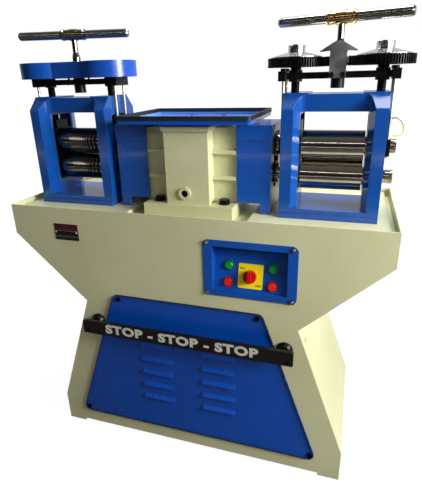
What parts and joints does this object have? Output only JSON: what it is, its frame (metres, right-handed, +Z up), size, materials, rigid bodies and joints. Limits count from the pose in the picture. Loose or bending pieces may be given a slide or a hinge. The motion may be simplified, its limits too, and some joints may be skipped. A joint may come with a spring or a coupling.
{
  "type": "jewellers rolling mill",
  "caption": "Floor-standing powered rolling mill: waisted sheet cabinet, central gearbox, wire rolls at one end and flat rolls at the other, T-handles for the roll gaps.",
  "frame": {"origin": "on the floor, under the middle of the machine's width and of its overall depth", "axes": "+X to the operator's right along the rolls, +Y away from the operator, +Z up"},
  "size_m": [1.06, 0.46, 1.225],
  "materials": {
    "cream_enamel": "semi-gloss stoved enamel",
    "blue_enamel": "gloss stoved enamel",
    "hammer_blue": "gloss hammer enamel on a casting",
    "black_oxide": "oiled black oxide",
    "gear_steel": "dark hobbed steel",
    "hard_chrome": "ground and polished",
    "bright_steel": "ground steel",
    "dark_steel": "dark oiled steel",
    "bolt_steel": "dark bolts",
    "screw_steel": "zinc plated",
    "yellow_plastic": "moulded",
    "red_plastic": "moulded",
    "green_plastic": "moulded",
    "black_plastic": "moulded",
    "cast_iron": "as cast",
    "aluminium": "die cast",
    "name_black": "anodised sheet with a red band",
    "belt_rubber": "moulded",
    "coupling_steel": "passivated"
  },
  "bodies": {
    "machine": {"cabinet_shell": "cream_enamel", "foot_plates": "cream_enamel", "bench_plates": "cream_enamel", "front_door": "blue_enamel", "rear_cover": "blue_enamel", "cover_screws": "screw_steel", "stop_bar_guides": "black_oxide", "stop_switch": "black_plastic", "control_panel": "blue_enamel", "button_bodies": "black_plastic", "rotary_switch": "yellow_plastic", "name_plate": "name_black", "right_stand": "hammer_blue", "left_stand": "hammer_blue", "right_lower_chocks": "black_oxide", "left_lower_chocks": "black_oxide", "gearbox_case": "cream_enamel", "gearbox_bearings": "bright_steel", "oil_level_port": "cream_enamel", "gearbox_lid": "blue_enamel", "tool_tray": "blue_enamel", "hold_down_bolts": "bolt_steel", "drive_belts": "belt_rubber", "motor_housing": "aluminium", "coupling_guards": "blue_enamel"},
    "motor": {"motor_rotor": "dark_steel", "motor_pulley": "cast_iron"},
    "input": {"input_shaft": "dark_steel", "input_pulley": "cast_iron"},
    "intermediate": {"intermediate_shaft": "dark_steel"},
    "lower_drive": {"lower_drive_shaft": "dark_steel", "lower_couplings": "coupling_steel"},
    "upper_drive": {"upper_drive_shaft": "dark_steel", "upper_couplings": "coupling_steel"},
    "stop_bar": {"stop_bar": "black_oxide"},
    "switch_knob": {"switch_knob": "red_plastic"},
    "left_start_button": {"left_start_button": "green_plastic"},
    "left_stop_button": {"left_stop_button": "red_plastic"},
    "right_start_button": {"right_start_button": "green_plastic"},
    "right_stop_button": {"right_stop_button": "red_plastic"},
    "right_lower_roll": {"right_lower_roll": "hard_chrome"},
    "right_upper_roll": {"right_upper_roll": "hard_chrome"},
    "right_head": {"right_upper_chocks": "black_oxide", "right_bridge": "black_oxide", "right_pinion_bracket": "bright_steel"},
    "right_handle": {"right_handle": "hard_chrome"},
    "right_outer_screw": {"right_outer_screw": "bright_steel", "right_outer_gear": "gear_steel"},
    "right_inner_screw": {"right_inner_screw": "bright_steel", "right_inner_gear": "gear_steel"},
    "left_lower_roll": {"left_lower_roll": "hard_chrome"},
    "left_upper_roll": {"left_upper_roll": "hard_chrome"},
    "left_head": {"left_upper_chocks": "black_oxide", "left_bridge": "black_oxide", "left_gear_cover": "hammer_blue"},
    "left_handle": {"left_handle": "hard_chrome"},
    "left_outer_screw": {"left_outer_screw": "bright_steel", "left_outer_gear": "gear_steel"},
    "left_inner_screw": {"left_inner_screw": "bright_steel", "left_inner_gear": "gear_steel"}
  },
  "joints": [
    {"name": "motor_spin", "type": "hinge", "parent": "machine", "child": "motor", "pos_m": [0.085, -0.015, 0.198], "axis": [1, 0, 0], "continuous": true},
    {"name": "input_spin", "type": "hinge", "parent": "machine", "child": "input", "pos_m": [0.085, -0.015, 0.697], "axis": [1, 0, 0], "continuous": true},
    {"name": "intermediate_spin", "type": "hinge", "parent": "machine", "child": "intermediate", "pos_m": [0, -0.015, 0.769], "axis": [1, 0, 0], "continuous": true},
    {"name": "lower_drive_spin", "type": "hinge", "parent": "machine", "child": "lower_drive", "pos_m": [0, -0.015, 0.847], "axis": [1, 0, 0], "continuous": true},
    {"name": "upper_drive_spin", "type": "hinge", "parent": "machine", "child": "upper_drive", "pos_m": [0, -0.015, 0.922], "axis": [1, 0, 0], "continuous": true},
    {"name": "right_gap", "type": "slide", "parent": "machine", "child": "right_head", "axis": [0, 0, 1], "range_m": [0, 0.0062]},
    {"name": "right_handle_turn", "type": "hinge", "parent": "right_head", "child": "right_handle", "pos_m": [0.358, -0.015, 1.21], "axis": [0, 0, 1], "range_deg": [0, 1440]},
    {"name": "right_outer_screw_turn", "type": "hinge", "parent": "right_head", "child": "right_outer_screw", "pos_m": [0.458, -0.015, 1.11], "axis": [0, 0, 1], "range_deg": [-742, 0]},
    {"name": "right_inner_screw_turn", "type": "hinge", "parent": "right_head", "child": "right_inner_screw", "pos_m": [0.258, -0.015, 1.11], "axis": [0, 0, 1], "range_deg": [-742, 0]},
    {"name": "right_lower_roll_spin", "type": "hinge", "parent": "machine", "child": "right_lower_roll", "pos_m": [0.358, -0.015, 0.847], "axis": [1, 0, 0], "continuous": true},
    {"name": "right_upper_roll_spin", "type": "hinge", "parent": "right_head", "child": "right_upper_roll", "pos_m": [0.358, -0.015, 0.922], "axis": [1, 0, 0], "continuous": true},
    {"name": "left_gap", "type": "slide", "parent": "machine", "child": "left_head", "axis": [0, 0, 1], "range_m": [0, 0.0062]},
    {"name": "left_handle_turn", "type": "hinge", "parent": "left_head", "child": "left_handle", "pos_m": [-0.358, -0.015, 1.21], "axis": [0, 0, 1], "range_deg": [0, 1440]},
    {"name": "left_outer_screw_turn", "type": "hinge", "parent": "left_head", "child": "left_outer_screw", "pos_m": [-0.458, -0.015, 1.11], "axis": [0, 0, 1], "range_deg": [-742, 0]},
    {"name": "left_inner_screw_turn", "type": "hinge", "parent": "left_head", "child": "left_inner_screw", "pos_m": [-0.258, -0.015, 1.11], "axis": [0, 0, 1], "range_deg": [-742, 0]},
    {"name": "left_lower_roll_spin", "type": "hinge", "parent": "machine", "child": "left_lower_roll", "pos_m": [-0.358, -0.015, 0.847], "axis": [1, 0, 0], "continuous": true},
    {"name": "left_upper_roll_spin", "type": "hinge", "parent": "left_head", "child": "left_upper_roll", "pos_m": [-0.358, -0.015, 0.922], "axis": [1, 0, 0], "continuous": true},
    {"name": "stop_bar_push", "type": "slide", "parent": "machine", "child": "stop_bar", "axis": [0, 1, 0], "range_m": [0, 0.006], "stiffness_N_per_m": 900, "springref_m": -0.02},
    {"name": "left_start_push", "type": "slide", "parent": "machine", "child": "left_start_button", "axis": [0, 0.9668, -0.2557], "range_m": [0, 0.003], "stiffness_N_per_m": 600, "springref_m": -0.002},
    {"name": "left_stop_push", "type": "slide", "parent": "machine", "child": "left_stop_button", "axis": [0, 0.9668, -0.2557], "range_m": [0, 0.003], "stiffness_N_per_m": 600, "springref_m": -0.002},
    {"name": "right_start_push", "type": "slide", "parent": "machine", "child": "right_start_button", "axis": [0, 0.9668, -0.2557], "range_m": [0, 0.003], "stiffness_N_per_m": 600, "springref_m": -0.002},
    {"name": "right_stop_push", "type": "slide", "parent": "machine", "child": "right_stop_button", "axis": [0, 0.9668, -0.2557], "range_m": [0, 0.003], "stiffness_N_per_m": 600, "springref_m": -0.002},
    {"name": "switch_turn", "type": "hinge", "parent": "machine", "child": "switch_knob", "pos_m": [0.183, -0.1698, 0.6062], "axis": [0, 0.9668, -0.2557], "range_deg": [0, 90]}
  ],
  "couplings": [
    {"joint": "input_spin", "follows": "motor_spin", "ratio": 0.73529},
    {"joint": "intermediate_spin", "follows": "motor_spin", "ratio": -0.21008},
    {"joint": "lower_drive_spin", "follows": "motor_spin", "ratio": 0.077399},
    {"joint": "upper_drive_spin", "follows": "motor_spin", "ratio": -0.077399},
    {"joint": "right_gap", "follows": "right_handle_turn", "m_per_rad": 0.00024597},
    {"joint": "right_outer_screw_turn", "follows": "right_handle_turn", "ratio": -0.51515},
    {"joint": "right_inner_screw_turn", "follows": "right_handle_turn", "ratio": -0.51515},
    {"joint": "right_lower_roll_spin", "follows": "motor_spin", "ratio": 0.077399},
    {"joint": "right_upper_roll_spin", "follows": "motor_spin", "ratio": -0.077399},
    {"joint": "left_gap", "follows": "left_handle_turn", "m_per_rad": 0.00024597},
    {"joint": "left_outer_screw_turn", "follows": "left_handle_turn", "ratio": -0.51515},
    {"joint": "left_inner_screw_turn", "follows": "left_handle_turn", "ratio": -0.51515},
    {"joint": "left_lower_roll_spin", "follows": "motor_spin", "ratio": 0.077399},
    {"joint": "left_upper_roll_spin", "follows": "motor_spin", "ratio": -0.077399}
  ]
}
